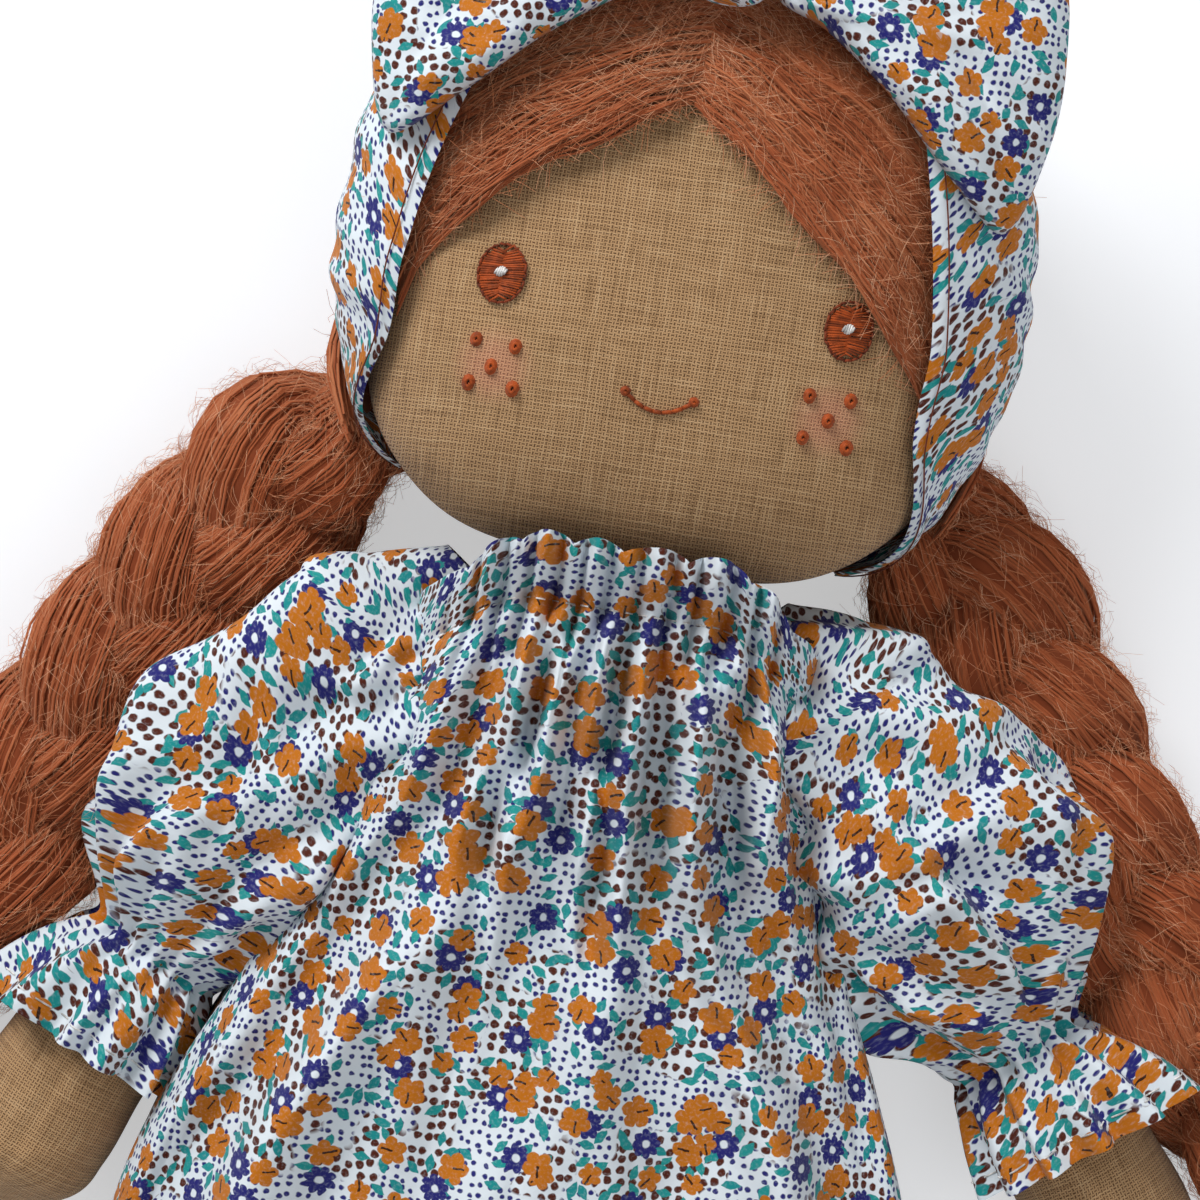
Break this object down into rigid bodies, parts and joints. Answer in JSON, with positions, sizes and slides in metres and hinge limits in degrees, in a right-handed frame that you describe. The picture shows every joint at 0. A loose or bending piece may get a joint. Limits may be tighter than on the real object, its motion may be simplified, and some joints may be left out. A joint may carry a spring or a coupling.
{
  "type": "rag doll",
  "caption": "Sewn linen rag doll lying on its back, with a stuffed body, embroidered face, plaited yarn hair, printed smock dress, headband and bow.",
  "frame": {"origin": "on the flat back of the dress under the chest, where the lying doll rests", "axes": "+Z out of the doll's front, +Y towards its head, +X towards its left side (the viewer's right)"},
  "size_m": [0.4262, 0.4728, 0.0772],
  "materials": {
    "linen": "plain-woven tan linen",
    "stuffing": "loose white fibre filling",
    "print_cotton": "fine cotton with a small all-over flower print",
    "yarn": "soft brushed rust-coloured yarn",
    "rust_thread": "rust embroidery thread",
    "white_thread": "white embroidery thread",
    "rubber": "flat white elastic",
    "felt": "brown wool felt"
  },
  "bodies": {
    "torso": {"torso_linen": "linen", "torso_stuffing": "stuffing", "dress_front_panel": "print_cotton", "dress_back_panel": "print_cotton", "neckline_elastic": "rubber"},
    "neck": {"neck": "linen"},
    "head": {"head_linen": "linen", "head_stuffing": "stuffing", "mouth": "rust_thread", "back_hair": "yarn", "headband": "print_cotton", "nape_elastic": "rubber", "bow_knot": "print_cotton", "left_eye": "rust_thread", "left_eye_glint": "white_thread", "left_front_hair": "yarn", "left_bow_loop": "print_cotton", "left_freckle_middle": "rust_thread", "left_freckle_top_in": "rust_thread", "left_freckle_top_out": "rust_thread", "left_freckle_low_in": "rust_thread", "left_freckle_low_out": "rust_thread", "right_eye": "rust_thread", "right_eye_glint": "white_thread", "right_front_hair": "yarn", "right_bow_loop": "print_cotton", "right_freckle_middle": "rust_thread", "right_freckle_top_in": "rust_thread", "right_freckle_top_out": "rust_thread", "right_freckle_low_in": "rust_thread", "right_freckle_low_out": "rust_thread"},
    "left_braid": {"left_braid": "yarn", "left_braid_tie": "print_cotton", "left_tassel": "yarn"},
    "right_braid": {"right_braid": "yarn", "right_braid_tie": "print_cotton", "right_tassel": "yarn"},
    "left_arm": {"left_arm_linen": "linen", "left_arm_stuffing": "stuffing", "left_sleeve": "print_cotton", "left_cuff_elastic": "rubber"},
    "right_arm": {"right_arm_linen": "linen", "right_arm_stuffing": "stuffing", "right_sleeve": "print_cotton", "right_cuff_elastic": "rubber"},
    "hips": {"hip_seam": "linen"},
    "left_leg": {"left_leg_linen": "linen", "left_leg_stuffing": "stuffing", "left_shoe": "felt"},
    "right_leg": {"right_leg_linen": "linen", "right_leg_stuffing": "stuffing", "right_shoe": "felt"}
  },
  "joints": [
    {"name": "head_turn", "type": "hinge", "parent": "torso", "child": "neck", "pos_m": [0, 0.056, 0.03], "axis": [0, 1, 0], "range_deg": [-12, 12], "deforming": ["dress_front_panel", "dress_back_panel", "left_sleeve", "right_sleeve", "neckline_elastic"]},
    {"name": "head_nod", "type": "hinge", "parent": "neck", "child": "head", "pos_m": [0, 0.056, 0.03], "axis": [1, 0, 0], "range_deg": [-5, 25], "deforming": ["dress_front_panel", "dress_back_panel", "left_sleeve", "right_sleeve", "neckline_elastic"]},
    {"name": "left_braid_swing", "type": "hinge", "parent": "head", "child": "left_braid", "pos_m": [0.0612, 0.076, 0.0133], "axis": [0, 0, 1], "range_deg": [0, 35]},
    {"name": "left_shoulder", "type": "hinge", "parent": "torso", "child": "left_arm", "pos_m": [0.035, 0.034, 0.02], "axis": [-1, 0, 0], "range_deg": [-5, 75], "deforming": ["left_sleeve", "dress_front_panel", "dress_back_panel"]},
    {"name": "right_braid_swing", "type": "hinge", "parent": "head", "child": "right_braid", "pos_m": [-0.0612, 0.076, 0.0133], "axis": [0, 0, -1], "range_deg": [0, 35]},
    {"name": "right_shoulder", "type": "hinge", "parent": "torso", "child": "right_arm", "pos_m": [-0.035, 0.034, 0.02], "axis": [-1, 0, 0], "range_deg": [-5, 75], "deforming": ["right_sleeve", "dress_front_panel", "dress_back_panel"]},
    {"name": "sit_fold", "type": "hinge", "parent": "torso", "child": "hips", "pos_m": [0, -0.0768, 0.0215], "axis": [-1, 0, 0], "range_deg": [-5, 80], "deforming": ["dress_front_panel", "dress_back_panel", "left_sleeve", "right_sleeve"]},
    {"name": "left_leg_spread", "type": "hinge", "parent": "hips", "child": "left_leg", "pos_m": [0.02022, -0.09606, 0.0215], "axis": [0, 0, 1], "range_deg": [-3, 15], "deforming": ["dress_front_panel", "dress_back_panel"]},
    {"name": "right_leg_spread", "type": "hinge", "parent": "hips", "child": "right_leg", "pos_m": [-0.02022, -0.09606, 0.0215], "axis": [0, 0, -1], "range_deg": [-3, 15], "deforming": ["dress_front_panel", "dress_back_panel"]}
  ]
}
